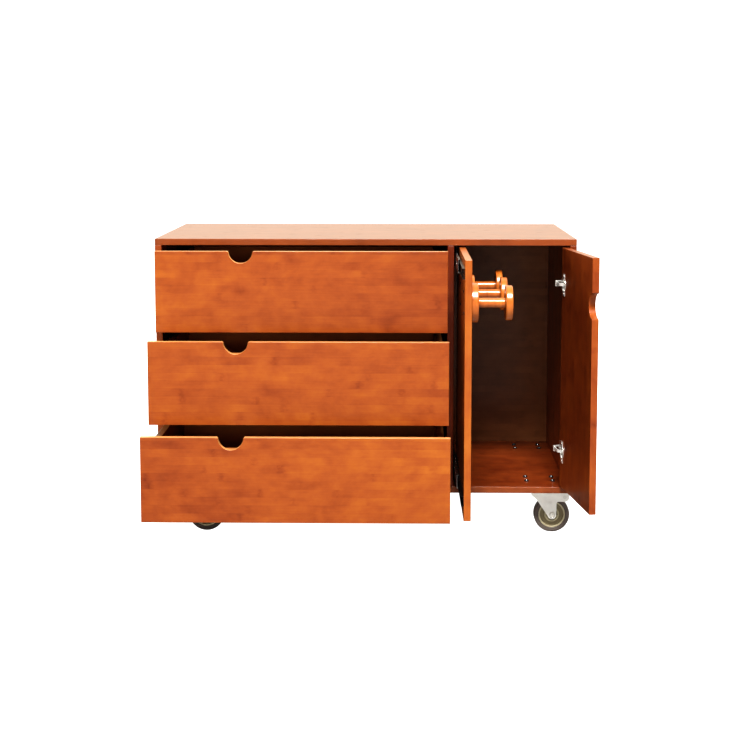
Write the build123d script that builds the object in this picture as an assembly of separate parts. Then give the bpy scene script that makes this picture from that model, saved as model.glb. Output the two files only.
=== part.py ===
from build123d import *
import os
from math import cos, radians, sin, sqrt

# A low tack cabinet of stained bamboo board on four swivel casters. Three inset drawers fill the
# left bay. The narrow right bay is a cupboard with an inset door on two concealed hinges, and
# inside it a rack panel with turned pegs runs out on two ball-bearing slides.
# The model stands as it is used: drawers pulled out in steps, door open, rack drawn forward.
# Everything is placed from the middle of the carcass's width, its front plane and the floor,
# then moved so that the origin is under the middle of the whole open cabinet. Millimetres.

# Carcass
carcass_width = 1150.0
carcass_depth = 600.0
carcass_height = 705.0
board = 18.0
arris = 1.5
cupboard_width = 315.0
back_board = 10.0
back_rebate = 9.0
back_play = 0.2
dowel_radius = 4.0
dowel_in_panel = 12.0
dowel_in_end = 22.0
dowel_inset = 60.0
dowel_count = 4
glue_play = 0.05
blind_play = 0.5

# Screws
screw_radius = 1.8
screw_point = 2.5
screw_head_radius = 3.4
screw_head = 1.8
back_screw_length = 24.0
back_screw_inset = 70.0
back_screws_across = 6
back_screws_up = 3

# Drawers
drawer_count = 3
drawer_pulls = (400.0, 270.0, 135.0)
front_gap = 4.5
front_side_gap = 3.0
notch_radius = 32.0
notch_shoulder = 4.5
drawer_notch_from_left = 226.5
box_board = 18.0
box_arris = 1.0
box_below_front_top = 33.0
box_above_front_bottom = 12.0
box_back_space = 22.0
drawer_bottom_board = 8.0
drawer_bottom_lift = 10.0
drawer_groove = 6.0
groove_play = 0.2
front_screw_length = 30.0
front_screw_inset = 90.0
front_screw_edge = 40.0
box_screw_length = 42.0

# Ball-bearing slides
slide_space = 13.5
slide_setback = 3.0
drawer_slide_back_space = 19.0
rack_slide_back_space = 55.5
rail_metal = 1.2
rail_lip = 1.0
outer_rail_half = 22.5
outer_rail_depth = 10.0
middle_rail_half = 17.9
middle_rail_lift = 4.2
middle_rail_depth = 5.6
inner_rail_half = 13.3
inner_rail_depth = 6.3
ball_play = 0.3
cage_metal = 0.8
cage_width = 3.0
cage_length = 210.0
cage_ball_count = 5
rail_screw_inset = 32.0
rail_screw_length = 12.0
rail_screw_count = 3

# Cupboard door and its hinges
door_angle = 98.0
door_notch_below_top = 123.0
hinge_from_end = 100.0
pivot_ahead = 0.5
cup_radius = 17.5
cup_wall = 1.3
cup_depth = 11.0
cup_from_edge = 22.5
cup_flange_length = 60.0
cup_flange_width = 20.0
cup_flange = 1.2
cup_screw_spread = 24.0
hinge_screw_length = 10.0
knuckle_from_pivot = 30.0
knuckle_behind_pivot = 22.0
knuckle_radius = 4.2
knuckle_pin_radius = 1.6
arm_half_width = 8.0
arm_depth = 11.0
arm_length = 62.0
arm_neck = 8.0
arm_back_step = 3.0
plate_metal = 2.0
plate_half_height = 25.0
plate_depth = 20.0
plate_from_front = 52.0
link_half_width = 4.0
link_half_thickness = 2.2
link_reach = 36.0
link_toe_reach = 7.0
link_toe_drop = 11.0
link_play = 0.4
cup_pin_radius = 1.6
toe_gap = 0.3
toe_path_angle = 37.0
running_play = 0.05

# Pull-out rack
rack_out = 375.0
rack_back_space = 46.5
rack_rail_from_top = 35.0
rack_rail_from_bottom = 50.0
rack_rail_setback = 5.0
peg_from_top = 113.0
peg_from_front = 62.0
peg_spacing = 195.0
peg_count = 3
peg_base_radius = 50.0
peg_base = 18.0
peg_rod_radius = 12.5
peg_rod = 68.0
peg_end_radius = 44.0
peg_end = 18.0
peg_rim = 5.0
tenon_radius = 8.0
tenon = 10.0
peg_screw_spread = 28.0
peg_screw_length = 30.0

# Casters
caster_height = 130.0
caster_side_inset = 87.0
caster_end_inset = 90.0
wheel_radius = 50.0
wheel_width = 32.0
caster_trail = 36.0
top_plate_length = 95.0
top_plate_width = 66.0
top_plate = 3.0
top_plate_corner = 8.0
bolt_spread_length = 73.5
bolt_spread_width = 48.0
bolt_radius = 4.0
bolt_play = 0.3
bolt_head_radius = 7.0
bolt_head = 4.0
washer_radius = 9.0
washer = 1.6
nut_radius = 7.2
nut = 6.0
bolt_tail = 2.5
race_radius = 29.0
race = 3.0
boss_radius = 25.0
swivel_play = 0.4
kingpin_radius = 6.0
kingpin_head_radius = 9.0
kingpin_head = 3.0
fork_metal = 3.0
fork_bend = 4.0
wheel_side_play = 2.0
fork_top = 65.0
crown_rear = 58.0
crown_rear_drop = 7.0
crown_front = 27.0
leg_shoulder = 42.0
leg_front = 13.0
leg_end_radius = 12.0
leg_fillet = 5.0
ear_reach = 49.0
ear_bottom = 38.0
dimple_radius = 7.0
dimple_proud = 0.8
dimple_rear = 5.0
dimple_lift = 30.0
axle_radius = 6.0
axle_nut_radius = 8.5
axle_nut = 5.0
axle_tail = 2.5
tyre_round = 5.0
rim_radius = 36.0
rim_wall = 4.0
rim_half_width = 13.5
web_half = 4.0
hub_radius = 17.0
hub_side_play = 0.5
lever_pin_radius = 3.0
lever_rivet_radius = 5.0
lever_rivet = 1.5
lever_barrel_radius = 7.0
lever_side_play = 1.0
cam_reach = 7.0
cam_radius = 3.8
cam_angle = 205.0
pedal_reach = 12.0
pedal_metal = 4.0
pedal_lift = 5.0

# Cuts run past the faces that they open
overrun = 2.0

# Carcass planes
half_width = carcass_width / 2
carcass_bottom = caster_height
carcass_top = carcass_bottom + carcass_height
floor_face = carcass_bottom + board
ceiling_face = carcass_top - board
left_face = -half_width + board
right_face = half_width - board
divider_right = right_face - cupboard_width
divider_left = divider_right - board
back_face = carcass_depth - back_board

# Drawer planes
opening_height = ceiling_face - floor_face
front_height = (opening_height - (drawer_count + 1) * front_gap) / drawer_count
box_length = back_face - box_back_space - board
drawer_slide_length = back_face - drawer_slide_back_space - board - slide_setback
front_left = left_face + front_side_gap
front_right = divider_left - front_side_gap
box_left = left_face + slide_space
box_right = divider_left - slide_space

# Door planes and pivot
door_bottom = floor_face + front_gap
door_top = ceiling_face - front_gap
door_left = divider_right + front_side_gap
door_right = right_face - front_side_gap
pivot_x = door_right
pivot_y = -pivot_ahead
hinge_heights = (door_bottom + hinge_from_end, door_top - hinge_from_end)
knuckle_x = pivot_x - knuckle_from_pivot
knuckle_y = pivot_y + knuckle_behind_pivot

# Rack planes
rack_left = divider_right + slide_space
rack_right = rack_left + board
rack_travel = rack_out + board + pivot_ahead + cup_depth
rack_shut_front = rack_travel - rack_out
rack_length = back_face - rack_back_space - rack_shut_front
rack_rail_start = rack_shut_front + rack_rail_setback
rack_slide_length = back_face - rack_slide_back_space - rack_rail_start
rack_rail_heights = (door_bottom + rack_rail_from_bottom, door_top - rack_rail_from_top)

# Under the middle of the open cabinet
door_swing = arris - door_right + door_left
door_overhang = door_swing * cos(radians(door_angle)) - front_side_gap - board
mid_x = max(door_overhang, 0) / 2
mid_y = (carcass_depth - max(drawer_pulls)) / 2
to_frame = Pos(-mid_x, -mid_y, 0)

os.makedirs("parts", exist_ok=True)


def write(node, *pieces):
    """Move the pieces into the part's frame and write them as one node."""
    solids = [solid.moved(to_frame) for piece in pieces for solid in piece.solids()]
    export_step(Compound(solids), f"parts/{node}.step")


def block(x0, x1, y0, y1, z0, z1):
    """A square-edged block between two corners."""
    size = Box(x1 - x0, y1 - y0, z1 - z0, align=(Align.MIN, Align.MIN, Align.MIN))
    return Pos(x0, y0, z0) * size


def eased_board(x0, x1, y0, y1, z0, z1, radius=arris):
    """A board with every arris taken off."""
    plain = block(x0, x1, y0, y1, z0, z1)
    return fillet(plain.edges(), radius)


def bar(radius, start, end):
    """A round bar between two points."""
    line = Vector(*end) - Vector(*start)
    return extrude(Plane(origin=start, z_dir=line) * Circle(radius), line.length)


def along_y(outline, start, end):
    """Stretch an outline drawn in X and Z from one depth to the next."""
    return Pos(0, end, 0) * extrude(Plane.XZ * outline, end - start)


def polygon(*points):
    """A face with straight sides."""
    return make_face(Polyline(*points, close=True))


def minus(body, *cutters):
    """Cut every cutter out of a body."""
    for cutter in cutters:
        body = body - cutter
    return body


def spread(start, end, count):
    """Places spaced evenly from start to end, both included."""
    step = (end - start) / max(count - 1, 1)
    return [start + step * i for i in range(count)]


def spin(piece, angle, x, y):
    """Turn a piece about an upright axis."""
    return Pos(x, y, 0) * Rot(0, 0, angle) * Pos(-x, -y, 0) * piece


def screw(place, length):
    """A pan-head wood screw, its head outside the surface at place."""
    points = (
        (0, screw_head),
        (screw_head_radius - screw_head / 2, screw_head),
        (screw_head_radius, screw_head / 3),
        (screw_head_radius, 0),
        (screw_radius, 0),
        (screw_radius, -length + screw_point),
        (0, -length),
    )
    return place * revolve(Plane.XZ * polygon(*points), Axis.Z)


def pilot(place, length):
    """The hole that a screw turns into."""
    deep = length + blind_play
    hole = Cylinder(screw_radius + glue_play, deep + overrun, align=(Align.CENTER, Align.CENTER, Align.MIN))
    return place * Pos(0, 0, -deep) * hole


def counterbore(place):
    """The pocket that lets a screw's head in flush."""
    size = (Align.CENTER, Align.CENTER, Align.MIN)
    return place * Cylinder(screw_head_radius + back_play, screw_head + overrun, align=size)


facing_left = (0, -90, 0)
facing_right = (0, 90, 0)
facing_back = (-90, 0, 0)


# Carcass boards, doweled together

def dowel_places():
    """Each dowel's foot, along the three upright boards at both ends."""
    uprights = (left_face - board / 2, (divider_left + divider_right) / 2, right_face + board / 2)
    for x in uprights:
        for y in spread(dowel_inset, back_face - dowel_inset, dowel_count):
            yield x, y, floor_face - dowel_in_panel, floor_face + dowel_in_end
            yield x, y, ceiling_face - dowel_in_end, ceiling_face + dowel_in_panel


def back_screw_places():
    """Screw heads round the back board's edge and up the divider."""
    row = carcass_top - board + back_rebate / 2
    foot = carcass_bottom + board - back_rebate / 2
    for x in spread(-half_width + back_screw_inset, half_width - back_screw_inset, back_screws_across):
        yield x, row
        yield x, foot
    side = half_width - board + back_rebate / 2
    middle = (divider_left + divider_right) / 2
    for z in spread(floor_face + back_screw_inset, ceiling_face - back_screw_inset, back_screws_up):
        yield side, z
        yield -side, z
        yield middle, z


dowels = [bar(dowel_radius, (x, y, z0), (x, y, z1)) for x, y, z0, z1 in dowel_places()]
dowel_holes = [
    bar(dowel_radius + glue_play, (x, y, z0 - blind_play), (x, y, z1 + blind_play))
    for x, y, z0, z1 in dowel_places()
]
screw_seat = carcass_depth - screw_head
back_places = [Location((x, screw_seat, z), facing_back) for x, z in back_screw_places()]
back_screws = [screw(place, back_screw_length) for place in back_places]
back_pilots = [pilot(place, back_screw_length) for place in back_places]
head_pockets = [counterbore(place) for place in back_places]

back_pocket = block(
    left_face - back_rebate,
    right_face + back_rebate,
    back_face,
    carcass_depth + overrun,
    floor_face - back_rebate,
    ceiling_face + back_rebate,
)
back_panel = eased_board(
    left_face - back_rebate + back_play,
    right_face + back_rebate - back_play,
    back_face,
    carcass_depth,
    floor_face - back_rebate + back_play,
    ceiling_face + back_rebate - back_play,
    box_arris,
)
top_panel = eased_board(-half_width, half_width, 0, carcass_depth, ceiling_face, carcass_top)
bottom_panel = eased_board(-half_width, half_width, 0, carcass_depth, carcass_bottom, floor_face)
left_side = eased_board(-half_width, left_face, 0, carcass_depth, floor_face, ceiling_face)
right_side = eased_board(right_face, half_width, 0, carcass_depth, floor_face, ceiling_face)
divider = eased_board(divider_left, divider_right, 0, back_face, floor_face, ceiling_face)


# Slides: a cabinet rail, a middle rail with its ball cages, and an inner rail

def channel(web, tip, half):
    """A rail's section: its web at one width, its lipped flanges reaching to the other."""
    side = 1 if tip > web else -1
    inside = half - rail_metal
    lip = inside - rail_lip
    upper = [
        (web, half),
        (tip, half),
        (tip, lip),
        (tip - side * rail_metal, lip),
        (tip - side * rail_metal, inside),
        (web + side * rail_metal, inside),
    ]
    lower = [(x, -z) for x, z in reversed(upper)]
    return polygon(*upper, *lower)


def slide(mount_face, side, height, start, length, pull):
    """The solids of one slide, with the drawer or rack end drawn out towards the front."""

    def rail(web, tip, half, shift):
        section = Pos(mount_face, height) * channel(side * web, side * tip, half)
        return along_y(section, start - shift, start + length - shift)

    outer = rail(0, outer_rail_depth, outer_rail_half, 0)
    middle = rail(middle_rail_lift, middle_rail_lift + middle_rail_depth, middle_rail_half, pull / 2)
    inner = rail(slide_space, slide_space - inner_rail_depth, inner_rail_half, pull)

    lanes = (
        (outer_rail_half - rail_metal, middle_rail_half, middle_rail_lift + middle_rail_depth / 2),
        (
            middle_rail_half - rail_metal,
            inner_rail_half,
            (middle_rail_lift + middle_rail_depth + slide_space - inner_rail_depth) / 2,
        ),
    )
    cage_middle = start + length / 2 - pull / 2
    cages = []
    for high, low, across in lanes:
        radius = (high - low) / 2 - ball_play
        for way in (1, -1):
            x = mount_face + side * across
            z = height + way * (high + low) / 2
            strip = block(
                x - cage_width / 2,
                x + cage_width / 2,
                cage_middle - cage_length / 2,
                cage_middle + cage_length / 2,
                z - cage_metal / 2,
                z + cage_metal / 2,
            )
            reach = cage_length / 2 - cage_width
            for y in spread(cage_middle - reach, cage_middle + reach, cage_ball_count):
                strip = strip + Pos(x, y, z) * Sphere(radius)
            cages.append(strip)

    screws, pilots, moving_screws, moving_pilots = [], [], [], []
    away = facing_right if side > 0 else facing_left
    back = facing_left if side > 0 else facing_right
    for y in spread(start + rail_screw_inset, start + length - rail_screw_inset, rail_screw_count):
        seat = Location((mount_face + side * rail_metal, y, height), away)
        screws.append(screw(seat, rail_screw_length))
        pilots.append(pilot(seat, rail_screw_length))
        seat = Location((mount_face + side * (slide_space - rail_metal), y - pull, height), back)
        moving_screws.append(screw(seat, rail_screw_length))
        moving_pilots.append(pilot(seat, rail_screw_length))
    outer = minus(outer, *pilots)
    inner = minus(inner, *moving_pilots)
    return {
        "outer": outer,
        "middle": [middle, *cages],
        "inner": inner,
        "screws": screws,
        "pilots": pilots,
        "moving_screws": moving_screws,
        "moving_pilots": moving_pilots,
    }


# Drawers: an applied front with a finger notch, a four-board box, a bottom in grooves

def notched(width, height, across, up):
    """A front's outline with a half-round finger notch and softened shoulders."""
    outline = Rectangle(width, height, align=(Align.MIN, Align.MIN)) - Pos(across, up) * Circle(notch_radius)
    centre = Vector(across, up, 0)
    shoulders = [v for v in outline.vertices() if (v.center() - centre).length < notch_radius + arris]
    return fillet(shoulders, notch_shoulder)


def front_board(outline, x0, z0, y0):
    """A front of board thickness, its two faces' arrises taken off."""
    plain = along_y(Pos(x0, z0) * outline, y0, y0 + board)
    faces = plain.faces().sort_by(Axis.Y)
    return fillet(faces[0].edges() + faces[-1].edges(), arris)


drawer_names = ("bottom_drawer", "middle_drawer", "top_drawer")
cabinet_rails = []
carcass_screws = list(back_screws)
left_pilots = []
divider_pilots = []

for number, (drawer, pull) in enumerate(zip(drawer_names, drawer_pulls)):
    front_bottom = floor_face + front_gap + number * (front_height + front_gap)
    front_top = front_bottom + front_height
    box_front = board - pull
    box_back = box_front + box_length
    box_bottom = front_bottom + box_above_front_bottom
    box_top = front_top - box_below_front_top
    inner_left = box_left + box_board
    inner_right = box_right - box_board
    inner_front = box_front + box_board
    inner_back = box_back - box_board
    bottom_low = box_bottom + drawer_bottom_lift

    outline = notched(front_right - front_left, front_height, drawer_notch_from_left, front_height)
    front = front_board(outline, front_left, front_bottom, -pull)

    bottom = block(
        inner_left - drawer_groove + groove_play,
        inner_right + drawer_groove - groove_play,
        inner_front - drawer_groove + groove_play,
        inner_back + drawer_groove - groove_play,
        bottom_low,
        bottom_low + drawer_bottom_board,
    )
    groove = block(
        inner_left - drawer_groove,
        inner_right + drawer_groove,
        inner_front - drawer_groove,
        inner_back + drawer_groove,
        bottom_low,
        bottom_low + drawer_bottom_board + groove_play,
    )
    left_board = eased_board(box_left, inner_left, box_front, box_back, box_bottom, box_top, box_arris)
    right_board = eased_board(inner_right, box_right, box_front, box_back, box_bottom, box_top, box_arris)
    near_board = eased_board(
        inner_left, inner_right, box_front, inner_front, box_bottom, box_top, box_arris
    )
    far_board = eased_board(inner_left, inner_right, inner_back, box_back, box_bottom, box_top, box_arris)

    rail_height = (box_bottom + box_top) / 2
    start = board + slide_setback
    left_slide = slide(left_face, 1, rail_height, start, drawer_slide_length, pull)
    right_slide = slide(divider_left, -1, rail_height, start, drawer_slide_length, pull)

    front_places = [
        Location((x, inner_front, z), facing_back)
        for x in (inner_left + front_screw_inset, inner_right - front_screw_inset)
        for z in (box_bottom + front_screw_edge, box_top - front_screw_edge)
    ]
    near_places = []
    for z in (box_bottom + front_screw_edge, box_top - front_screw_edge):
        near_places.append((box_left, z, facing_left))
        near_places.append((box_right, z, facing_right))
    corner_places = [
        Location((x, y, z), facing)
        for x, z, facing in near_places
        for y in (box_front + box_board / 2, box_back - box_board / 2)
    ]
    front_pilots = [pilot(place, front_screw_length) for place in front_places]
    corner_pilots = [pilot(place, box_screw_length) for place in corner_places]

    front = minus(front, *front_pilots)
    near_board = minus(near_board, groove, *front_pilots, *corner_pilots)
    far_board = minus(far_board, groove, *corner_pilots)
    left_board = minus(left_board, groove, *left_slide["moving_pilots"], *corner_pilots)
    right_board = minus(right_board, groove, *right_slide["moving_pilots"], *corner_pilots)

    cabinet_rails += [left_slide["outer"], right_slide["outer"]]
    carcass_screws += left_slide["screws"] + right_slide["screws"]
    left_pilots += left_slide["pilots"]
    divider_pilots += right_slide["pilots"]

    drawer_screws = [screw(place, front_screw_length) for place in front_places]
    drawer_screws += [screw(place, box_screw_length) for place in corner_places]
    drawer_screws += left_slide["moving_screws"] + right_slide["moving_screws"]
    write(f"{drawer}_front", front)
    write(f"{drawer}_boards", left_board, right_board, near_board, far_board)
    write(f"{drawer}_bottom", bottom)
    write(f"{drawer}_rails", left_slide["inner"], right_slide["inner"])
    write(f"{drawer}_screws", *drawer_screws)
    write(f"{drawer}_middle_rails", *left_slide["middle"], *right_slide["middle"])


# Pull-out rack: a panel carried on two slides, with turned pegs screwed on from behind

rack_front = -rack_out
rack_back = rack_front + rack_length
rack_panel = eased_board(rack_left, rack_right, rack_front, rack_back, door_bottom, door_top)
rack_inner_rails = []
rack_middle_rails = []
rack_screws = []
rack_pilots = []
for height in rack_rail_heights:
    rack_slide = slide(divider_right, 1, height, rack_rail_start, rack_slide_length, rack_travel)
    cabinet_rails.append(rack_slide["outer"])
    carcass_screws += rack_slide["screws"]
    divider_pilots += rack_slide["pilots"]
    rack_middle_rails += rack_slide["middle"]
    rack_inner_rails.append(rack_slide["inner"])
    rack_screws += rack_slide["moving_screws"]
    rack_pilots += rack_slide["moving_pilots"]

peg_height = door_top - peg_from_top
peg_bases, peg_rods, peg_ends = [], [], []


def turned_disc(start, end, y, radius):
    """A turned disc with rounded rims."""
    plain = bar(radius, (start, y, peg_height), (end, y, peg_height))
    rims = plain.edges().filter_by(GeomType.CIRCLE)
    return fillet(rims, peg_rim)


for number in range(peg_count):
    y = rack_front + peg_from_front + number * peg_spacing
    base_end = rack_right + peg_base
    rod_end = base_end + peg_rod
    socket_bottom = base_end - tenon
    socket_top = rod_end + tenon
    base = turned_disc(rack_right, base_end, y, peg_base_radius)
    end = turned_disc(rod_end, rod_end + peg_end, y, peg_end_radius)
    rod = bar(peg_rod_radius, (base_end, y, peg_height), (rod_end, y, peg_height))
    rod = rod + bar(tenon_radius, (socket_bottom, y, peg_height), (socket_top, y, peg_height))
    socket = bar(
        tenon_radius + glue_play,
        (socket_bottom - blind_play, y, peg_height),
        (socket_top + blind_play, y, peg_height),
    )
    seats = [
        Location((rack_left, y, peg_height + z), facing_left) for z in (peg_screw_spread, -peg_screw_spread)
    ]
    holes = [pilot(seat, peg_screw_length) for seat in seats]
    rack_screws += [screw(seat, peg_screw_length) for seat in seats]
    rack_pilots += holes
    peg_bases.append(minus(base, socket, *holes))
    peg_rods.append(rod)
    peg_ends.append(end - socket)

write("rack_panel", minus(rack_panel, *rack_pilots))
write("peg_bases", *peg_bases)
write("peg_rods", *peg_rods)
write("peg_ends", *peg_ends)
write("rack_rails", *rack_inner_rails)
write("rack_screws", *rack_screws)
write("rack_middle_rails", *rack_middle_rails)


# Cupboard door: drawn shut, then turned open about its pivot

def opened(piece):
    """Turn a piece of the shut door to where the door stands."""
    return spin(piece, door_angle, pivot_x, pivot_y)


door_width = door_right - door_left
door_height = door_top - door_bottom
door_outline = notched(door_width, door_height, 0, door_height - door_notch_below_top)
door = front_board(door_outline, door_left, door_bottom, 0)
cup_x = door_right - cup_from_edge
hinge_cups = []
cup_cutters = []
cup_screws = []
for height in hinge_heights:
    cup = bar(cup_radius, (cup_x, board - cup_depth, height), (cup_x, board, height))
    wings = block(
        cup_x - cup_flange_width / 2,
        cup_x + cup_flange_width / 2,
        board,
        board + cup_flange,
        height - cup_flange_length / 2,
        height + cup_flange_length / 2,
    )
    rim = bar(cup_radius + cup_wall, (cup_x, board, height), (cup_x, board + cup_flange, height))
    hollow = bar(
        cup_radius - cup_wall,
        (cup_x, board - cup_depth + cup_wall, height),
        (cup_x, board + overrun, height),
    )
    seats = [
        Location((cup_x, board + cup_flange, height + z), facing_back)
        for z in (cup_screw_spread, -cup_screw_spread)
    ]
    holes = [pilot(seat, hinge_screw_length) for seat in seats]
    hinge_cups.append(minus(cup + wings + rim, hollow, *holes))
    cup_screws += [screw(seat, hinge_screw_length) for seat in seats]
    cup_cutters += holes
    cup_cutters.append(
        bar(
            cup_radius + glue_play,
            (cup_x, board - cup_depth - glue_play, height),
            (cup_x, board + overrun, height),
        )
    )
write("cupboard_door", opened(minus(door, *cup_cutters)))

# Hinge arms on the side panel, and the links that reach into the cups
hinge_plates = []
hinge_links = []
hinge_pilots = []
cup_pins = []
cup_pin_bores = []
arm_face = right_face - plate_metal
for height in hinge_heights:
    plate = block(
        arm_face,
        right_face,
        plate_from_front,
        plate_from_front + plate_depth,
        height - plate_half_height,
        height + plate_half_height,
    )
    seats = [
        Location((arm_face, plate_from_front + plate_depth / 2, height + z), facing_left)
        for z in (cup_screw_spread - knuckle_radius, knuckle_radius - cup_screw_spread)
    ]
    holes = [pilot(seat, hinge_screw_length) for seat in seats]
    hinge_pilots += holes
    carcass_screws += [screw(seat, hinge_screw_length) for seat in seats]

    arm_back = knuckle_y + arm_length
    arm_left = arm_face - arm_depth
    neck_y = knuckle_y + arm_neck
    side_view = polygon(
        (arm_face, arm_back),
        (arm_face, neck_y + arm_neck),
        (arm_face - arm_back_step, neck_y),
        (knuckle_x, knuckle_y - knuckle_radius),
        (knuckle_x, knuckle_y + knuckle_radius),
        (arm_left, neck_y + arm_neck),
        (arm_left, arm_back),
    )
    side_view = side_view + Pos(knuckle_x, knuckle_y) * Circle(knuckle_radius)
    arm = Pos(0, 0, height - arm_half_width) * extrude(side_view, 2 * arm_half_width)
    mouth_end = knuckle_x + link_reach / 3
    mouth = block(
        knuckle_x - link_reach,
        mouth_end,
        knuckle_y - link_reach,
        knuckle_y + link_reach,
        height - link_half_width - link_play,
        height + link_half_width + link_play,
    )
    pin_bottom = (knuckle_x, knuckle_y, height - arm_half_width)
    pin_top = (knuckle_x, knuckle_y, height + arm_half_width)
    knuckle_pin = bar(knuckle_pin_radius, pin_bottom, pin_top)
    bore = bar(knuckle_pin_radius + running_play, pin_bottom, pin_top)
    hinge_plates += [minus(plate, *holes), minus(arm, mouth, bore), knuckle_pin]

    # The link lies over the shut door's inner face, and its toe dips into the cup of the open door
    heel = Vector(knuckle_x, knuckle_y)
    along = Vector(-cos(radians(door_angle)), -sin(radians(door_angle)))
    into = Vector(sin(radians(door_angle)), -cos(radians(door_angle)))
    elbow = heel + along * link_reach
    toe = elbow + along * link_toe_reach + into * link_toe_drop
    strip = polygon(
        heel - into * link_half_thickness,
        elbow - into * link_half_thickness,
        elbow + along * link_half_thickness,
        toe + along * link_half_thickness,
        toe - along * link_half_thickness,
        elbow + into * link_half_thickness,
        heel + into * link_half_thickness,
    )
    shape = strip + Pos(knuckle_x, knuckle_y) * Circle(knuckle_radius)
    link = Pos(0, 0, height - link_half_width) * extrude(shape, 2 * link_half_width)
    hinge_links.append(link - bore)

    # The toe rests beside a pin across the cup, square to the way it slides in
    square = along * cos(radians(toe_path_angle)) + into * sin(radians(toe_path_angle))
    seat = toe + along * link_half_thickness + square * (cup_pin_radius + toe_gap)
    for radius, reach, group in (
        (cup_pin_radius, cup_radius - cup_wall / 2, cup_pins),
        (cup_pin_radius + running_play, cup_radius + overrun, cup_pin_bores),
    ):
        group.append(bar(radius, (seat.X, seat.Y, height - reach), (seat.X, seat.Y, height + reach)))
write("hinge_plates", *hinge_plates)
write("hinge_links", *hinge_links)
open_cups = [minus(opened(cup), *cup_pin_bores) for cup in hinge_cups]
write("hinge_cups", *open_cups, *cup_pins, *[opened(piece) for piece in cup_screws])


# Casters: plate and kingpin bolted to the cabinet, swivelling fork, axle, wheel and brake lever

def caster_places():
    """The name and swivel axis of each caster."""
    across = half_width - caster_side_inset
    rear = carcass_depth - caster_end_inset
    yield "front_left", -across, caster_end_inset
    yield "front_right", across, caster_end_inset
    yield "rear_left", -across, rear
    yield "rear_right", across, rear


def bolt_places(x, y):
    """The four bolts round a swivel axis."""
    for i in (-1, 1):
        for j in (-1, 1):
            yield x + i * bolt_spread_length / 2, y + j * bolt_spread_width / 2


def hexagon(radius, x, y, z0, z1):
    """A hexagonal prism, upright."""
    return Pos(x, y, z0) * extrude(RegularPolygon(radius, 6), z1 - z0)


axle_height = wheel_radius
fork_crown = axle_height + fork_top
plate_bottom = carcass_bottom - top_plate
race_bottom = plate_bottom - race
crown_under = fork_crown - fork_metal
leg_inside = wheel_width / 2 + wheel_side_play
leg_outside = leg_inside + fork_metal
ear_radius = (fork_top - ear_bottom) / 2
ear_x = ear_reach - ear_radius
ear_z = ear_bottom + ear_radius


def top_plate_and_kingpin(x, y):
    """The bolted plate with its bearing race, and the kingpin through it."""
    outline = RectangleRounded(top_plate_length, top_plate_width, top_plate_corner)
    plate = Pos(x, y, plate_bottom) * extrude(outline, top_plate)
    plate = plate + bar(race_radius, (x, y, race_bottom), (x, y, plate_bottom))
    holes = [
        bar(bolt_radius + bolt_play, (u, v, race_bottom), (u, v, carcass_bottom + overrun))
        for u, v in bolt_places(x, y)
    ]
    centre = bar(
        kingpin_radius + running_play,
        (x, y, race_bottom - overrun),
        (x, y, carcass_bottom + overrun),
    )
    head_top = crown_under - swivel_play
    kingpin = bar(kingpin_radius, (x, y, head_top), (x, y, carcass_bottom))
    kingpin = kingpin + bar(kingpin_head_radius, (x, y, head_top - kingpin_head), (x, y, head_top))
    return minus(plate, centre, *holes), kingpin


def caster_bolts(x, y):
    """Bolts, washers on the cabinet floor, and nuts under the plate."""
    for u, v in bolt_places(x, y):
        seat = floor_face + washer
        tail = plate_bottom - nut - bolt_tail
        shank = bar(bolt_radius, (u, v, tail), (u, v, seat))
        head = bar(bolt_head_radius, (u, v, seat), (u, v, seat + bolt_head))
        head = fillet(head.edges().group_by(Axis.Z)[-1], bolt_head / 2)
        hole = bar(bolt_radius + running_play, (u, v, tail - overrun), (u, v, seat + overrun))
        ring = bar(washer_radius, (u, v, floor_face), (u, v, seat)) - hole
        yield shank + head
        yield ring
        yield hexagon(nut_radius, u, v, plate_bottom - nut, plate_bottom) - hole


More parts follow.
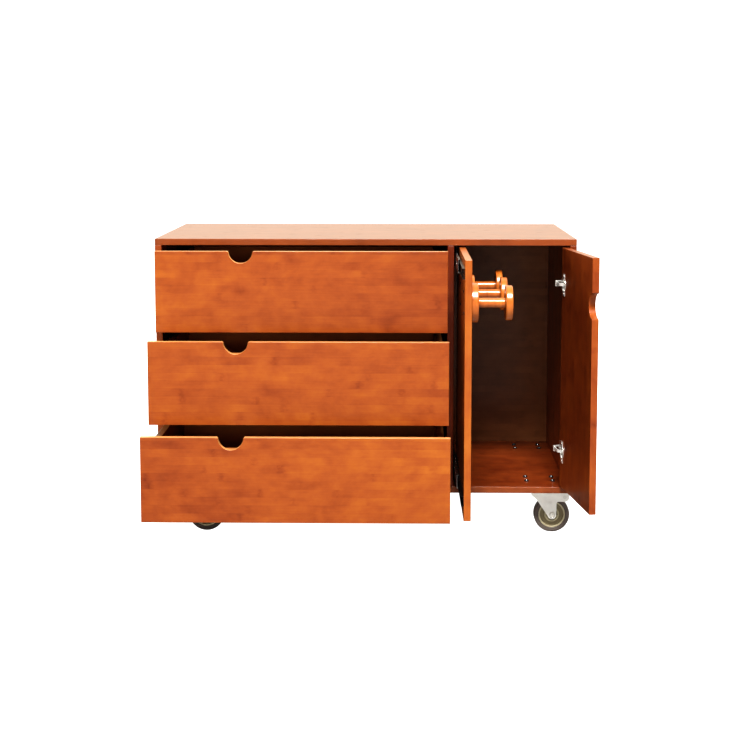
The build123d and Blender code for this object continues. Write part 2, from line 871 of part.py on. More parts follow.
def fork(braked):
    """The pressed fork, drawn about its axle and moved to its swivel axis."""
    tangent = sqrt(2) / 2
    ear = [(ear_x, fork_top), (ear_x, ear_bottom), (leg_front, ear_bottom)]
    outline = polygon(
        (-crown_rear, fork_top),
        *(ear if braked else [(leg_front, fork_top)]),
        (leg_end_radius, 0),
        (-leg_end_radius * tangent, -leg_end_radius * tangent),
        (-leg_shoulder, leg_shoulder),
        (-crown_rear, fork_top - crown_rear_drop),
    )
    if braked:
        corner = Vector(leg_front, ear_bottom, 0)
        inner = [v for v in outline.vertices() if (v.center() - corner).length < fork_metal / 2]
        outline = fillet(inner, leg_fillet) + Pos(ear_x, ear_z) * Circle(ear_radius)
    outline = outline + Circle(leg_end_radius)
    if not braked:
        crown = polygon(
            (-crown_rear, fork_top),
            (crown_front, fork_top),
            (crown_front, fork_top - fork_metal),
            (leg_front, leg_shoulder),
            (-leg_shoulder, leg_shoulder),
        )
        outline = outline + crown
    side = along_y(Pos(caster_trail, axle_height) * outline, -leg_outside, leg_outside)
    sheet = RectangleRounded(2 * leg_outside, 2 * fork_crown, fork_bend)
    sheet = sheet - RectangleRounded(2 * leg_inside, 2 * crown_under, fork_bend - fork_metal)
    reach = caster_trail + crown_rear + ear_reach
    shell = Pos(-reach, 0, 0) * extrude(Plane.YZ * sheet, 2 * reach)
    body = side & shell
    if braked:
        body = body - block(
            caster_trail + crown_front, reach, -leg_inside, leg_inside, axle_height, fork_crown + overrun
        )
    body = body + bar(boss_radius, (0, 0, fork_crown - fork_metal / 2), (0, 0, race_bottom - swivel_play))
    for way in (1, -1):
        centre = (caster_trail - dimple_rear, axle_height + dimple_lift)
        dimple = bar(
            dimple_radius,
            (centre[0], way * (leg_outside - fork_metal / 2), centre[1]),
            (centre[0], way * (leg_outside + dimple_proud), centre[1]),
        )
        body = body + dimple
    body = body - bar(kingpin_radius + running_play, (0, 0, 0), (0, 0, carcass_bottom))
    body = body - axle_bar(axle_radius + running_play, leg_outside + overrun, leg_outside + overrun)
    if braked:
        body = body - lever_bar(lever_pin_radius + running_play, leg_outside + overrun)
    return body


def axle_bar(radius, near, far):
    """A bar on the wheel's axis."""
    return bar(radius, (caster_trail, -near, axle_height), (caster_trail, far, axle_height))


def lever_bar(radius, reach):
    """A bar on the brake lever's axis."""
    x = caster_trail + ear_x
    z = axle_height + ear_z
    return bar(radius, (x, -reach, z), (x, reach, z))


def axle():
    """The axle bolt with its hexagonal head, and its nut."""
    turned = Pos(caster_trail, 0, axle_height) * Rot(90, 0, 0)
    nut_end = leg_outside + axle_nut
    head = turned * hexagon(axle_nut_radius, 0, 0, leg_outside, nut_end)
    bolt = axle_bar(axle_radius, leg_outside + axle_nut / 2, nut_end + axle_tail) + head
    ring = turned * hexagon(axle_nut_radius, 0, 0, -nut_end, -leg_outside)
    return bolt, ring - axle_bar(axle_radius + running_play, 0, nut_end + overrun)


def wheel_turned(section):
    """Turn a section, drawn as radius and width, about the axle."""
    return Pos(caster_trail, 0, axle_height) * Rot(90, 0, 0) * revolve(Plane.XZ * section, Axis.Z)


def tyre():
    """The tread, round at its shoulders."""
    half = wheel_width / 2
    section = polygon((rim_radius, -half), (wheel_radius, -half), (wheel_radius, half), (rim_radius, half))
    outer = section.vertices().sort_by(Axis.X)[2:]
    return wheel_turned(fillet(outer, tyre_round))


def hub():
    """The wheel centre: a boss, a thin web and a rim under the tread."""
    boss = leg_inside - hub_side_play
    inner = rim_radius - rim_wall
    half = [
        (rim_radius, rim_half_width),
        (inner, rim_half_width),
        (inner, web_half),
        (hub_radius, web_half),
        (hub_radius, boss),
        (axle_radius + running_play, boss),
    ]
    section = polygon(*half, *[(r, -w) for r, w in reversed(half)])
    return wheel_turned(section)


def brake_lever():
    """The lever between the fork's ears, with its cam and pedal, and the rivet it turns on."""
    cam_x = cam_reach * cos(radians(cam_angle))
    cam_z = cam_reach * sin(radians(cam_angle))
    side = Circle(lever_barrel_radius) + Pos(cam_x, cam_z) * Circle(cam_radius)
    side = side + polygon(
        (0, pedal_lift - pedal_metal),
        (pedal_reach, pedal_lift),
        (pedal_reach, pedal_lift + pedal_metal),
        (0, pedal_lift),
    )
    placed = Pos(caster_trail + ear_x, axle_height + ear_z) * side
    half = leg_inside - lever_side_play
    lever = along_y(placed, -half, half) - lever_bar(lever_pin_radius + running_play, leg_outside)
    rivet = lever_bar(lever_pin_radius, leg_outside)
    x = caster_trail + ear_x
    z = axle_height + ear_z
    for way in (1, -1):
        face = way * (leg_outside + lever_side_play / 2)
        rivet = rivet + bar(lever_pin_radius, (x, 0, z), (x, face, z))
        rivet = rivet + bar(lever_rivet_radius, (x, face, z), (x, face + way * lever_rivet, z))
    return lever, rivet


plates = []
bolts = []
bottom_holes = []
for corner, x, y in caster_places():
    place = Pos(x, y, 0)
    braked = corner.startswith("front")
    plates += top_plate_and_kingpin(x, y)
    bolts += caster_bolts(x, y)
    bottom_holes += [
        bar(bolt_radius + bolt_play, (u, v, carcass_bottom - overrun), (u, v, floor_face + overrun))
        for u, v in bolt_places(x, y)
    ]
    write(f"{corner}_fork", place * fork(braked))
    write(f"{corner}_axle", *[place * piece for piece in axle()])
    write(f"{corner}_tyre", place * tyre())
    write(f"{corner}_hub", place * hub())
    if braked:
        write(f"{corner}_brake_lever", *[place * piece for piece in brake_lever()])
write("caster_plates", *plates)
write("caster_bolts", *bolts)

# The carcass goes last, when every screw's and bolt's hole in it is known
write("top_panel", minus(top_panel, back_pocket, *dowel_holes, *back_pilots))
write("bottom_panel", minus(bottom_panel, back_pocket, *dowel_holes, *back_pilots, *bottom_holes))
write("left_side_panel", minus(left_side, back_pocket, *dowel_holes, *back_pilots, *left_pilots))
write("right_side_panel", minus(right_side, back_pocket, *dowel_holes, *back_pilots, *hinge_pilots))
write("divider_panel", minus(divider, *dowel_holes, *back_pilots, *divider_pilots))
write("back_panel", minus(back_panel, *back_pilots, *head_pockets))
write("carcass_dowels", *dowels)
write("cabinet_rails", *cabinet_rails)
write("carcass_screws", *carcass_screws)
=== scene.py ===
from math import cos, pi, radians, sin

import bmesh
import bpy
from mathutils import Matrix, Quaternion, Vector


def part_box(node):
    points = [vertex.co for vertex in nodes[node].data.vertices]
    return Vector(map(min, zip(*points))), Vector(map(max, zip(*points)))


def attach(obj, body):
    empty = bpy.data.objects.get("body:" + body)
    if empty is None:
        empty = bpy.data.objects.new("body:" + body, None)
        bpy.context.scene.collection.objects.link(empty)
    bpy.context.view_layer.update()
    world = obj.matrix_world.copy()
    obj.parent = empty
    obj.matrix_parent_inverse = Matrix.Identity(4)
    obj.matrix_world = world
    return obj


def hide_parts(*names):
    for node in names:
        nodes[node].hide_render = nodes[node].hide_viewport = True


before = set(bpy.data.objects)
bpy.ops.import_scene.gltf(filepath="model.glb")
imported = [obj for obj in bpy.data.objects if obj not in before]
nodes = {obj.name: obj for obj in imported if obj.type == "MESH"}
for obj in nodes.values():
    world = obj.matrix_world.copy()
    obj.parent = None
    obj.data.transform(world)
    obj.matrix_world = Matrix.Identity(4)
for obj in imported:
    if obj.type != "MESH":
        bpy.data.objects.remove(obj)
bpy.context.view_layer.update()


# The studio: a pale floor under a white sweep, a large softbox high in front, a weak fill low
# in front and two more for the sides and back. The camera stands at the photograph's place,
# tipped a little down, so that it needs only a small shift.

class Wire:
    """One value in a node tree, ready for sums."""

    def __init__(self, tree, socket=None):
        self.tree = tree
        self.socket = socket

    def node(self, kind, settings=None, inputs=None, output=0):
        """Add a node: its settings first, then its sockets' values or links."""
        made = self.tree.nodes.new(kind)
        for name, value in (settings or {}).items():
            if name == "stops":
                ramp = made.color_ramp.elements
                while len(ramp) < len(value):
                    ramp.new(0.5)
                for stop, (place, colour) in zip(ramp, value):
                    stop.position = place
                    stop.color = (*colour, 1)
            else:
                setattr(made, name, value)
        for key, value in (inputs or {}).items():
            if isinstance(value, Wire):
                self.tree.links.new(value.socket, made.inputs[key])
            else:
                made.inputs[key].default_value = value
        return Wire(self.tree, made.outputs[output] if made.outputs else None)

    def maths(self, operation, *values):
        """One sum on values, wires or numbers."""
        return self.node("ShaderNodeMath", {"operation": operation}, dict(enumerate(values)))

    def __add__(self, other):
        return self.maths("ADD", self, other)

    def __sub__(self, other):
        return self.maths("SUBTRACT", self, other)

    def __rsub__(self, other):
        return self.maths("SUBTRACT", other, self)

    def __mul__(self, other):
        return self.maths("MULTIPLY", self, other)

    def __truediv__(self, other):
        return self.maths("DIVIDE", self, other)

    def __abs__(self):
        return self.maths("ABSOLUTE", self)

    __radd__ = __add__
    __rmul__ = __mul__

    def floor(self):
        return self.maths("FLOOR", self)

    def joined(self, *others):
        """This geometry and others as one."""
        made = self.tree.nodes.new("GeometryNodeJoinGeometry")
        for wire in (self, *others):
            self.tree.links.new(wire.socket, made.inputs[0])
        return Wire(self.tree, made.outputs[0])

    def part(self):
        """What is left past the whole number below."""
        return self.maths("FRACT", self)

    def step(self, low, high):
        """0 up to low, 1 from high, and smooth between them."""
        soft = {"interpolation_type": "SMOOTHSTEP"}
        return self.node("ShaderNodeMapRange", soft, {0: self, 1: low, 2: high})

    def vector(self, x, y, z):
        return self.node("ShaderNodeCombineXYZ", None, {0: x, 1: y, 2: z})

    def chance(self):
        """The same random number wherever the value is the same."""
        return self.node("ShaderNodeTexWhiteNoise", {"noise_dimensions": "1D"}, {"W": self})

    def noise(self, scale, detail=2.0, rough=0.5):
        """Noise over this vector."""
        sizes = {"Vector": self, "Scale": scale, "Detail": detail, "Roughness": rough}
        return self.node("ShaderNodeTexNoise", {"noise_dimensions": "3D"}, sizes)

    def blend(self, low, high, way="MIX"):
        """A colour between two, this value being the share of the second."""
        mixed = {"data_type": "RGBA", "blend_type": way}
        return self.node("ShaderNodeMix", mixed, {0: self, 6: low, 7: high}, 2)


def rgb(red, green, blue):
    """A colour given in 0 to 255, as the renderer counts it."""
    shares = (red / 255, green / 255, blue / 255)
    return tuple(((c + 0.055) / 1.055) ** 2.4 if c > 0.04 else c / 12.92 for c in shares)


def opaque(colour):
    """A colour with its share of cover, which sockets ask for."""
    return (*colour, 1)


scene = bpy.context.scene
scene.view_settings.view_transform = "Standard"
scene.view_settings.look = "High Contrast"

camera_place = (0.0831, -4.126, 1.154)
camera_down = 6.017
camera_left = 0.962
camera_lens = 71.19
camera_shift = -0.13

camera = bpy.data.objects.new("camera", bpy.data.cameras.new("camera"))
scene.collection.objects.link(camera)
camera.location = camera_place
camera.rotation_euler = (radians(90 - camera_down), 0, radians(camera_left))
camera.data.lens = camera_lens
camera.data.shift_y = camera_shift
scene.camera = camera


def softbox(name, place, aim, wide, high, power, mirrored=False):
    """An area light turned towards a point. Only one that is mirrored leaves a highlight."""
    data = bpy.data.lights.new(name, "AREA")
    data.shape = "RECTANGLE"
    data.size = wide
    data.size_y = high
    data.energy = power
    lamp = bpy.data.objects.new(name, data)
    lamp.location = place
    lamp.rotation_euler = (Vector(aim) - Vector(place)).to_track_quat("-Z", "Y").to_euler()
    lamp.visible_glossy = mirrored
    scene.collection.objects.link(lamp)


softbox(
    "key", place=(0.4, -5.5, 7.7), aim=(0.0, -0.2, 0.45), wide=3.0, high=2.2, power=1430,
    mirrored=True,
)
softbox("fill", place=(-0.4, -6.0, 0.9), aim=(0.0, -0.2, 0.5), wide=2.4, high=1.4, power=104)
softbox("back_left", place=(-3.6, 3.4, 2.3), aim=(-0.3, 0.3, 0.4), wide=2.0, high=2.0, power=190)
softbox("back_right", place=(3.6, 3.4, 2.3), aim=(0.3, 0.3, 0.4), wide=2.0, high=2.0, power=190)

# Polished pieces mirror a bright wall behind the cabinet and a dark room in front of it. The
# change lies between two values of a ray's direction: -1 is straight forward, 1 straight back.
sweep_white = 1.0
mirrored_back = (1.05, 1.08, 0.92)
mirrored_front = (0.03, 0.03, 0.03)
air_light = (0.02, 0.02, 0.02)
front_until = -0.3
back_from = 0.5

world = bpy.data.worlds.new("studio")
world.use_nodes = True
scene.world = world
world.node_tree.nodes.clear()
air = Wire(world.node_tree)
seen = air.node("ShaderNodeLightPath", None, None, "Is Camera Ray")
mirrored = air.node("ShaderNodeLightPath", None, None, "Is Glossy Ray")
looking = air.node("ShaderNodeTexCoord", None, None, "Generated")
backwards = air.node("ShaderNodeSeparateXYZ", None, {0: looking}, 1)
towards_back = backwards.step(front_until, back_from)
mirror_light = towards_back.blend(opaque(mirrored_front), opaque(mirrored_back))
unseen_light = mirrored.blend(opaque(air_light), mirror_light)
sky = seen.blend(unseen_light, opaque((sweep_white,) * 3))
glow = air.node("ShaderNodeBackground", None, {"Color": sky, "Strength": 1.0})
air.node("ShaderNodeOutputWorld", None, {"Surface": glow})

floor_size = 9.0
floor_albedo = 0.3
floor_glow_near = 0.86
floor_glow_far = 1.0
floor_near = 1.4
floor_far = 3.2

floor_data = bpy.data.meshes.new("floor")
floor_data.from_pydata(
    [(x * floor_size, y * floor_size, 0) for x, y in ((-1, -1), (1, -1), (1, 1), (-1, 1))],
    [],
    [(0, 1, 2, 3)],
)
floor = bpy.data.objects.new("floor", floor_data)
scene.collection.objects.link(floor)
paint = bpy.data.materials.new("pale_floor")
paint.use_nodes = True
paint.node_tree.nodes.clear()
start = Wire(paint.node_tree)
matt = start.node("ShaderNodeBsdfDiffuse", None, {"Color": opaque((floor_albedo,) * 3)})
place = start.node("ShaderNodeTexCoord", None, None, "Object")
distance = start.node("ShaderNodeVectorMath", {"operation": "LENGTH"}, {0: place}, 1)
glow = distance.step(floor_near, floor_far) * (floor_glow_far - floor_glow_near) + floor_glow_near
shine = start.node("ShaderNodeEmission", None, {"Color": opaque((1, 1, 1)), "Strength": glow})
lit = start.node("ShaderNodeAddShader", None, {0: matt, 1: shine})
camera_ray = start.node("ShaderNodeLightPath", None, None, "Is Camera Ray")
covered = start.node("ShaderNodeMixShader", None, {0: camera_ray, 1: matt, 2: lit})
start.node("ShaderNodeOutputMaterial", None, {"Surface": covered})
floor_data.materials.append(paint)


# Carcass boards: top, base, two sides, divider and back, glued up from bamboo strips that run
# the length of each board, with a darker knuckle here and there. They are stained reddish
# brown, the back duller than the rest, lacquered satin and dowelled together.

strip_width = 0.0205
knuckle_spacing = 0.19
knuckle_half = 0.014
edge_tone = rgb(222, 170, 108)

bamboo_tones = (
    (0.0, rgb(104, 43, 18)),
    (0.3, rgb(134, 66, 29)),
    (0.5, rgb(149, 79, 34)),
    (0.72, rgb(162, 93, 37)),
    (1.0, rgb(174, 112, 47)),
)
back_tones = (
    (0.0, rgb(92, 58, 36)),
    (0.5, rgb(116, 74, 46)),
    (1.0, rgb(136, 92, 58)),
)


def finish_of(name):
    """An empty finish and the start of its node tree."""
    material = bpy.data.materials.new(name)
    material.use_nodes = True
    material.node_tree.nodes.clear()
    return material, Wire(material.node_tree)


def bamboo(
    name,
    grain,
    seed,
    lift=0.0,
    slope=0.0,
    figure=1.0,
    tones=bamboo_tones,
    pale=0.0,
    strip=strip_width,
    turn=0.0,
    coat=0.2,
    coat_rough=0.16,
):
    """Stained and lacquered strips.

    grain names the axes along the strips, across them and through the board. lift makes the
    whole board lighter, slope makes it lighter along its length, and figure is how strongly
    its grain shows. pale is how far its narrow edges go to the pale tone, and turn is how many
    degrees the board stands turned about the upright. Scales are per metre, so that streaks
    and fibres run along the strips.
    """
    material, start = finish_of(name)
    back = (0, 0, radians(-turn))
    place = start.node("ShaderNodeTexCoord", None, None, "Object")
    place = start.node("ShaderNodeMapping", None, {"Vector": place, "Rotation": back})
    axes = {
        axis: start.node("ShaderNodeSeparateXYZ", None, {0: place}, output)
        for output, axis in enumerate("XYZ")
    }
    along, across, through = (axes[axis] for axis in grain)
    faced = start.node("ShaderNodeNewGeometry", None, None, "Normal")
    as_normal = {"vector_type": "NORMAL"}
    faced = start.node("ShaderNodeMapping", as_normal, {"Vector": faced, "Rotation": back})
    facing = abs(start.node("ShaderNodeSeparateXYZ", None, {0: faced}, "XYZ".index(grain[2])))
    edge = 1 - facing.step(0.35, 0.8)

    lane = across / strip + seed
    number = lane.floor()
    tint = (number + seed * 3.1).chance()
    seam = abs(lane.part() - 0.5).step(0.455, 0.5)

    drift = start.vector(along * 2.2, across * 5, through * 5 + seed).noise(1.0, 1.0) - 0.5
    blotch = start.vector(along * 21 + drift * 3, across * 25 + seed, through * 25).noise(1.0, 3.0, 0.6)
    patch = start.vector(along * 10 + seed, number * 0.71 + across * 9, through * 9).noise(1.0, 2.0)
    streak = start.vector(along * 11, across * 230, through * 230 + seed).noise(1.0, 3.0, 0.6)
    fibre = start.vector(along * 26, across * 900, through * 900).noise(1.0, 2.0)

    reach = along / knuckle_spacing + tint * 7
    wobble = start.vector(along * 60, across * 110, seed).noise(1.0, 2.0) - 0.5
    away = abs(reach.part() - 0.5) * knuckle_spacing + wobble * 0.022
    strength = (reach.floor() * 1.7 + number * 5.3 + seed).chance()
    knuckle = (1 - away.step(0.0, knuckle_half)) * strength.step(0.25, 1.0)
    speckle = start.vector(along * 120, across * 150, through * 150).noise(1.0, 3.0)
    knuckle = knuckle * speckle.step(0.1, 0.8)

    change = (tint - 0.5) * 0.1 + (blotch - 0.5) * 0.62 + (patch - 0.5) * 0.5
    change = change + (streak - 0.5) * 0.2 + (fibre - 0.5) * 0.1 - knuckle * 0.25 - seam * 0.06
    tone = change * figure + along * slope + (0.5 + lift)
    colour = start.node("ShaderNodeValToRGB", {"stops": tones}, {0: tone})
    colour = (edge * pale).blend(colour, opaque(edge_tone))

    relief = streak * 0.5 + fibre * 0.3 - seam * 0.4 - knuckle * 0.3
    bump = start.node("ShaderNodeBump", None, {"Strength": 0.1, "Distance": 0.0004, "Height": relief})
    sheen = 0.36 + (streak - 0.5) * 0.10 + knuckle * 0.05
    lacquered = {
        "Base Color": colour,
        "Roughness": sheen,
        "Normal": bump,
        "Specular IOR Level": 0.3,
        "Coat Weight": coat,
        "Coat Roughness": coat_rough,
    }
    surface = start.node("ShaderNodeBsdfPrincipled", None, lacquered)
    start.node("ShaderNodeOutputMaterial", None, {"Surface": surface})
    return material


def dress(node, material):
    """Give a node's object its finish."""
    body = nodes[node]
    body.data.materials.clear()
    body.data.materials.append(material)


top = bamboo("bamboo_top", "XYZ", 0.3, lift=-0.3, figure=0.5, pale=0.05, coat=0.27)
dress("top_panel", top)
# The base is darker, partly its own tone and partly a painted shade for the cupboard's floor.
dress("bottom_panel", bamboo("bamboo_base", "XYZ", 7.6, lift=-0.32, pale=0.06))
dress("left_side_panel", bamboo("bamboo_left_side", "ZYX", 2.2, lift=-0.06))
# The right side is darker, partly its own tone and partly a painted shade for its face inside the
# cupboard.
dress("right_side_panel", bamboo("bamboo_right_side", "ZYX", 4.9, lift=-0.2))
# The divider is much darker: a painted shade for its front edge, shut in between the drawers and the
# rack.
dress("divider_panel", bamboo("bamboo_divider", "ZYX", 5.8, lift=-0.55))
dress("back_panel", bamboo("bamboo_back", "XZY", 9.1, tones=back_tones))


# Screws: pan-head wood screws with a cross recess, zinc plated, or black in the rack panel.
# They hold the back panel, the slides, the corners of the drawer boxes, the drawer fronts and
# the pegs, and each stops at another turn.

screw_head_radius = 0.0034
screw_head_height = 0.0018
screw_dome_fall = 0.32
screw_shank_radius = 0.0018
screw_taper = 9
screw_turn_step = 2.4
recess_length = 0.0036
recess_width = 0.0009
recess_depth = 0.0011
smooth_below = radians(32)
smear_scale = 18.0
tooth_scale = 400.0
tooth_bump = 0.05
tooth_height = 0.0003


def toothed(start, tooth):
    """The fine unevenness of a plated, moulded or rubber face."""
    dents = {"Strength": tooth_bump, "Distance": tooth_height, "Height": tooth}
    return start.node("ShaderNodeBump", None, dents)


def plain(name, colour, metal, rough, change=0.06):
    """Metal, plastic or rubber: one colour, changed a little by smears, with a fine tooth."""
    material, start = finish_of(name)
    place = start.node("ShaderNodeTexCoord", None, None, "Object")
    tooth = place.noise(tooth_scale, 3.0)
    smear = place.noise(smear_scale, 3.0)
    dark = tuple(c * (1 - 2 * change) for c in colour)
    light = tuple(min(c * (1 + change), 1) for c in colour)
    shade = (smear * 0.7 + tooth * 0.3).step(0.25, 0.75).blend(opaque(dark), opaque(light))
    bump = toothed(start, tooth)
    worn = rough + (smear - 0.5) * 0.16
    look = {"Base Color": shade, "Metallic": metal, "Roughness": worn, "Normal": bump}
    surface = start.node("ShaderNodeBsdfPrincipled", None, look)
    start.node("ShaderNodeOutputMaterial", None, {"Surface": surface})
    return material


screw_zinc = plain("screw_zinc", (0.62, 0.61, 0.58), 1.0, 0.28)
screw_black = plain("screw_black", (0.03, 0.03, 0.032), 0.6, 0.4)


def merged(node):
    """A copy of a node's mesh with its loose triangles joined up."""
    shape = bmesh.new()
    shape.from_mesh(nodes[node].data)
    bmesh.ops.remove_doubles(shape, verts=shape.verts, dist=1e-6)
    return shape


def solids_in(shape):
    """The separate solids of a joined-up mesh, each a list of its vertices."""
    shape.verts.index_update()
    seen = set()
    for first in shape.verts:
        if first.index in seen:
            continue
        seen.add(first.index)
        found = [first]
        for vertex in found:
            for edge in vertex.link_edges:
                other = edge.other_vert(vertex)
                if other.index not in seen:
                    seen.add(other.index)
                    found.append(other)
        yield found


def middle(solid):
    """The mean place of a solid's vertices."""
    return sum((vertex.co for vertex in solid), Vector()) / len(solid)


def corners(solid):
    """The lowest and highest corner of a solid."""
    sides = list(zip(*(vertex.co for vertex in solid)))
    return Vector(min(side) for side in sides), Vector(max(side) for side in sides)


def screw_spot(solid, count):
    """A screw's seat, its turn and its length, found from its tip."""
    centre = middle(solid)
    tip = max((vertex.co for vertex in solid), key=lambda place: (place - centre).length)
    axis = (centre - tip).normalized()
    length = max((vertex.co - tip).dot(axis) for vertex in solid) - screw_head_height
    turn = axis.to_track_quat("Z", "Y") @ Quaternion((0, 0, 1), screw_turn_step * count)
    return tip + axis * length, turn.to_euler(), length


def tree_of(name, sizes):
    """A Geometry Nodes tree and the wires that bring in its places, sizes and finish."""
    tree = bpy.data.node_groups.new(name, "GeometryNodeTree")
    tree.interface.new_socket("Places", in_out="INPUT", socket_type="NodeSocketGeometry")
    for size in sizes:
        tree.interface.new_socket(size, in_out="INPUT", socket_type="NodeSocketFloat")
    tree.interface.new_socket("Finish", in_out="INPUT", socket_type="NodeSocketMaterial")
    tree.interface.new_socket("Pieces", in_out="OUTPUT", socket_type="NodeSocketGeometry")
    start = Wire(tree)
    names = ("Places", *sizes, "Finish")
    return start, [start.node("NodeGroupInput", None, None, name) for name in names]


def round_bar(start, low, high, rings, sides, radius):
    """A turned bar from low to high, its radius a value or a wire that changes on the way."""
    ends = {"Start": start.vector(0, 0, low), "End": start.vector(0, 0, high)}
    line = start.node("GeometryNodeCurvePrimitiveLine", None, ends)
    line = start.node("GeometryNodeResampleCurve", None, {"Curve": line, "Count": rings})
    ring = start.node("GeometryNodeCurvePrimitiveCircle", None, {"Resolution": sides, "Radius": 1.0})
    swept = {"Curve": line, "Profile Curve": ring, "Scale": radius, "Fill Caps": True}
    return start.node("GeometryNodeCurveToMesh", None, swept)


def cut(start, body, cutter):
    """A body with a cutter's shape taken out."""
    exact = {"operation": "DIFFERENCE", "solver": "EXACT"}
    return start.node("GeometryNodeMeshBoolean", exact, {0: body, 1: cutter})


def set_out(start, places, shape, scale=(1, 1, 1)):
    """One of a shape at each place, turned as the place says."""
    named = {"data_type": "FLOAT_VECTOR"}
    turn = start.node("GeometryNodeInputNamedAttribute", named, {"Name": "turn"})
    turn = start.node("FunctionNodeEulerToRotation", None, {0: turn})
    spread = {"Points": places, "Instance": shape, "Rotation": turn, "Scale": scale}
    return start.node("GeometryNodeInstanceOnPoints", None, spread)


def settle(start, shape, finish):
    """End a tree: real meshes in one finish."""
    shape = start.node("GeometryNodeRealizeInstances", None, {0: shape})
    shape = start.node("GeometryNodeSetMaterial", None, {"Geometry": shape, "Material": finish})
    start.node("NodeGroupOutput", None, {"Pieces": shape})


def placed(name, shape):
    """A mesh as an object of the scene, at the origin."""
    piece = bpy.data.objects.new(name, shape)
    scene.collection.objects.link(piece)
    return piece


def plain_mesh(piece):
    """Apply a piece's modifiers, and round its shading off except at real edges."""
    depsgraph = bpy.context.evaluated_depsgraph_get()
    applied = bpy.data.meshes.new_from_object(piece.evaluated_get(depsgraph))
    piece.modifiers.clear()
    piece.data = applied
    applied.polygons.foreach_set("use_smooth", [True] * len(applied.polygons))
    applied.set_sharp_from_angle(angle=smooth_below)
    return piece


def run_tree(name, shape, tree, values):
    """Put a tree on a mesh, with its values, and keep what it makes."""
    piece = placed(name, shape)
    maker = piece.modifiers.new("maker", "NODES")
    maker.node_group = tree
    for item in tree.interface.items_tree:
        if item.name in values:
            maker[item.identifier] = values[item.name]
    return plain_mesh(piece)


def mark(shape, first, turns, reaches):
    """Give a mesh's points, from the first on, a turn and a reach."""
    shape.attributes.new("turn", "FLOAT_VECTOR", "POINT")
    shape.attributes.new("reach", "FLOAT", "POINT")
    for i, (turn, reach) in enumerate(zip(turns, reaches), first):
        shape.attributes["turn"].data[i].vector = turn
        shape.attributes["reach"].data[i].value = reach


def spots_mesh(name, spots):
    """A mesh of bare points that carry a turn and a reach."""
    places, turns, reaches = zip(*spots)
    shape = bpy.data.meshes.new(name)
    shape.from_pydata(places, [], [])
    mark(shape, 0, turns, reaches)
    return shape


def fix(piece, body, slot, *replaced):
    """Tell which body a finished piece moves with, and hide the nodes that it replaces. slot is not
    used.
    """
    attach(piece, body)
    if replaced:
        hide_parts(*replaced)


start, wires = tree_of(
    "cross_head_screw",
    ("Head radius", "Head height", "Shank radius", "Recess length", "Recess width", "Recess depth"),
)
places, head_radius, head_height, shank_radius, slot_length, slot_width, slot_depth, finish = wires
along_it = start.node("GeometryNodeSplineParameter")
dome = (1 - along_it * along_it * along_it * screw_dome_fall) * head_radius
head = round_bar(start, 0.0, head_height, rings=6, sides=20, radius=dome)
for long_side, short_side in ((slot_length, slot_width), (slot_width, slot_length)):
    block = start.vector(long_side, short_side, slot_depth * 2)
    blade = start.node("GeometryNodeMeshCube", None, {"Size": block})
    lifted = {"Geometry": blade, "Translation": start.vector(0, 0, head_height)}
    head = cut(start, head, start.node("GeometryNodeTransform", None, lifted))
taper = start.maths("MINIMUM", along_it * screw_taper, 1.0) * shank_radius
shank = round_bar(start, -1.0, 0.0, rings=10, sides=8, radius=taper)
reach = start.node("GeometryNodeInputNamedAttribute", {"data_type": "FLOAT"}, {"Name": "reach"})
heads = set_out(start, places, head)
shanks = set_out(start, places, shank, start.vector(1.0, 1.0, reach))
settle(start, heads.joined(shanks), finish)
screw_tree = start.tree


def screws(name, node_solids, finish=screw_zinc):
    """Cross-head screws where the given solids are."""
    spots = [screw_spot(solid, count) for count, solid in enumerate(node_solids)]
    values = {
        "Head radius": screw_head_radius,
        "Head height": screw_head_height,
        "Shank radius": screw_shank_radius,
        "Recess length": recess_length,
        "Recess width": recess_width,
        "Recess depth": recess_depth,
        "Finish": finish,
    }
    return run_tree(name, spots_mesh(name, spots), screw_tree, values)


drawers = ("bottom_drawer", "middle_drawer", "top_drawer")
screwed = [("carcass_screws", "root", screw_zinc), ("rack_screws", "rack", screw_black)]
screwed += [(f"{drawer}_screws", drawer, screw_zinc) for drawer in drawers]
for node, body, finish in screwed:
    shape = merged(node)
    fix(screws(f"{node}_crossed", solids_in(shape), finish), body, "screw_steel", node)
    shape.free()


# Drawers: an applied front screwed to a box of four boards, with a bottom let into grooves,
# all in the carcass's bamboo. The fronts' narrow edges take the stain more lightly, and each
# front, from the lowest up, has its own tone, which also changes along the board.

front_lifts = (0.06, -0.02, -0.1)
front_slopes = (0.34, 0.0, -0.2)
first_front_seed = 1.37
front_seed_step = 2.71
board_seed = 3.3
bottom_seed = 6.4

for count, drawer in enumerate(drawers):
    front = bamboo(
        f"bamboo_{drawer}_front",
        "XZY",
        first_front_seed + front_seed_step * count,
        lift=front_lifts[count],
        slope=front_slopes[count],
        figure=0.88,
        pale=0.65,
    )
    dress(f"{drawer}_front", front)
    boards = bamboo(f"bamboo_{drawer}_boards", "YZX", board_seed + count, lift=-0.1, pale=0.3)
    dress(f"{drawer}_boards", boards)
    bottom = bamboo(f"bamboo_{drawer}_bottom", "XYZ", bottom_seed + count)
    dress(f"{drawer}_bottom", bottom)


# Slides: rolled steel rails in black zinc with bright middle rails and ball cages. Each web
# has a row of punched slots, and a black plastic catch sits in each moving rail's channel.

# The catches' outline, along the rail and up, is in millimetres; the rest is in metres.
slide_slot_length = 0.022
slide_slot_width = 0.0055
slide_slot_depth = 0.004
slide_slot_pitch = 0.043
slide_slot_clear = 0.021
slot_corner_share = 0.49
rail_screw_inset = 0.032
shortest_rail = 0.3
screw_hole_reach = 0.004
same_plane = 1e-5
sharp_above = radians(40)
catch_outline = (
    (0, -6), (38, -6), (44, -3), (58, -3), (62, -1.5),
    (62, 1.5), (58, 3), (44, 3), (38, 6), (0, 6),
)
catch_from_front = 0.078
catch_depths = (0.0012, 0.0042)
catch_ease = 0.0005

